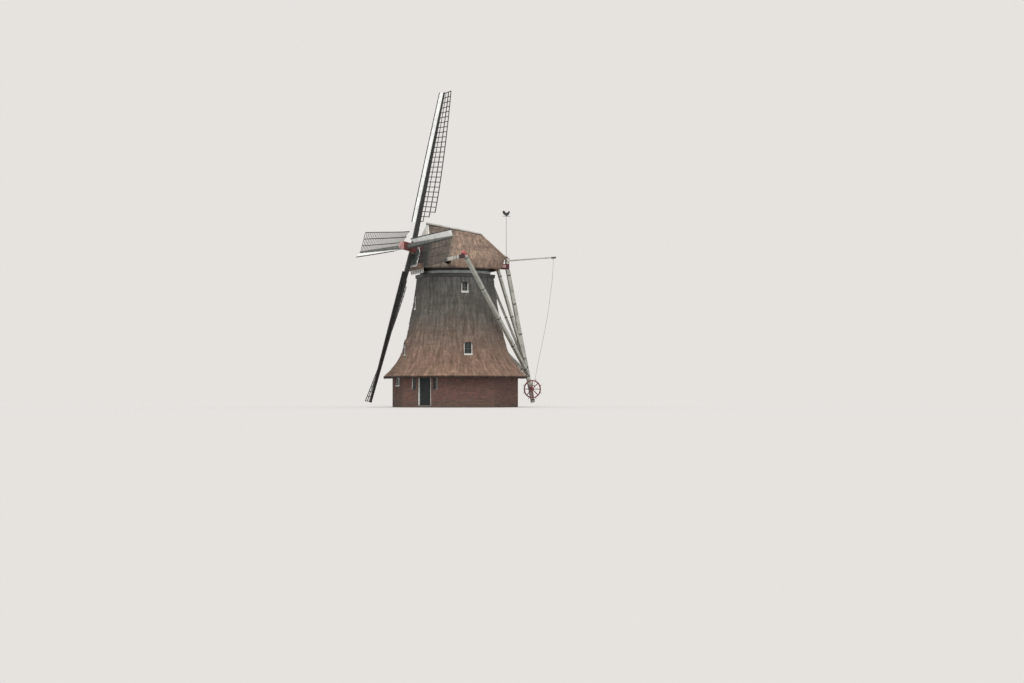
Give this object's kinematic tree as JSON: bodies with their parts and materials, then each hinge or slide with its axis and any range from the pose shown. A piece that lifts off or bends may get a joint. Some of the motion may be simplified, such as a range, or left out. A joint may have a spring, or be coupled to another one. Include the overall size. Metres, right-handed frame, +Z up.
{
  "type": "traditional windmill",
  "caption": "Thatched octagonal smock mill on a low brick base, with a turning cap, common sails and a tail with braces.",
  "frame": {"origin": "on the tower's vertical axis, at the foot of its walls and the underside of the ground floor", "axes": "+Z up, -Y towards the sails, +Y towards the tail pole, +X to the right as seen from the front"},
  "size_m": [23.589, 14.5994, 23.3543],
  "materials": {
    "brick": "dark red-brown brick with pale joints",
    "body_thatch": "weathered reed, darker towards the top",
    "cap_thatch": "newer reed, tan-brown",
    "white_paint": "weathered white oil paint",
    "door_paint": "dark blue-green oil paint",
    "beard_paint": "green oil paint with white edges",
    "iron": "black painted iron",
    "red_paint": "dark red oil paint",
    "bare_wood": "brown timber",
    "dark_wood": "tarred timber",
    "curb_paint": "grey-white oil paint",
    "tail_paint": "weathered grey-green oil paint",
    "stock_paint": "dark grey-green paint",
    "lattice_wood": "dark timber",
    "glass": "clear window glass",
    "rope": "laid rope"
  },
  "bodies": {
    "tower": {"ground_floor": "brick", "base_walls_main": "brick", "base_walls_corner": "brick", "door_piers": "brick", "door_lintel": "brick", "door_frame": "white_paint", "thatch_right": "body_thatch", "thatch_right_rear": "body_thatch", "thatch_rear": "body_thatch", "thatch_left_rear": "body_thatch", "thatch_left": "body_thatch", "thatch_left_front": "body_thatch", "thatch_front": "body_thatch", "thatch_right_front": "body_thatch", "first_floor": "bare_wood", "second_floor": "bare_wood", "window_frames": "white_paint", "window_glass": "glass", "top_plate": "dark_wood", "curb": "curb_paint"},
    "cap": {"cap_ring": "dark_wood", "cap_thatch": "cap_thatch", "ridge_board": "white_paint", "front_gable": "bare_wood", "barge_boards": "white_paint", "sheers": "bare_wood", "front_beam": "bare_wood", "comb_board": "white_paint", "weather_beam": "bare_wood", "beard": "beard_paint", "long_spruit": "white_paint", "short_spruit": "dark_wood", "tail_head": "red_paint", "tail_pole": "tail_paint", "long_braces": "tail_paint", "short_braces": "tail_paint", "winch_wheel": "red_paint", "brake_rope": "rope", "mast": "iron"},
    "sails": {"windshaft": "red_paint", "poll_end": "red_paint", "outer_stock": "stock_paint", "inner_stock": "stock_paint", "lattice_top": "lattice_wood", "lattice_left": "lattice_wood", "lattice_bottom": "lattice_wood", "lattice_right": "lattice_wood", "leading_boards": "white_paint"},
    "door": {"door_leaf": "door_paint", "door_hinges": "iron"},
    "brake_lever": {"brake_lever": "tail_paint"},
    "vane": {"vane": "iron"}
  },
  "joints": [
    {"name": "cap_turn", "type": "hinge", "parent": "tower", "child": "cap", "pos_m": [0, 0, 10.15], "axis": [0, 0, 1], "continuous": true},
    {"name": "sails_turn", "type": "hinge", "parent": "cap", "child": "sails", "pos_m": [0, -3.47, 11.77], "axis": [0, -0.9732, 0.23], "continuous": true},
    {"name": "door_swing", "type": "hinge", "parent": "tower", "child": "door", "pos_m": [3.05414, -2.79088, 0.16], "axis": [0, 0, -1], "range_deg": [0, 90]},
    {"name": "lever_lift", "type": "hinge", "parent": "cap", "child": "brake_lever", "pos_m": [0.172, 4.11, 10.941], "axis": [1, 0, 0], "range_deg": [0, 8]},
    {"name": "vane_turn", "type": "hinge", "parent": "cap", "child": "vane", "pos_m": [0, 4.04, 14.5], "axis": [0, 0, 1], "continuous": true}
  ]
}
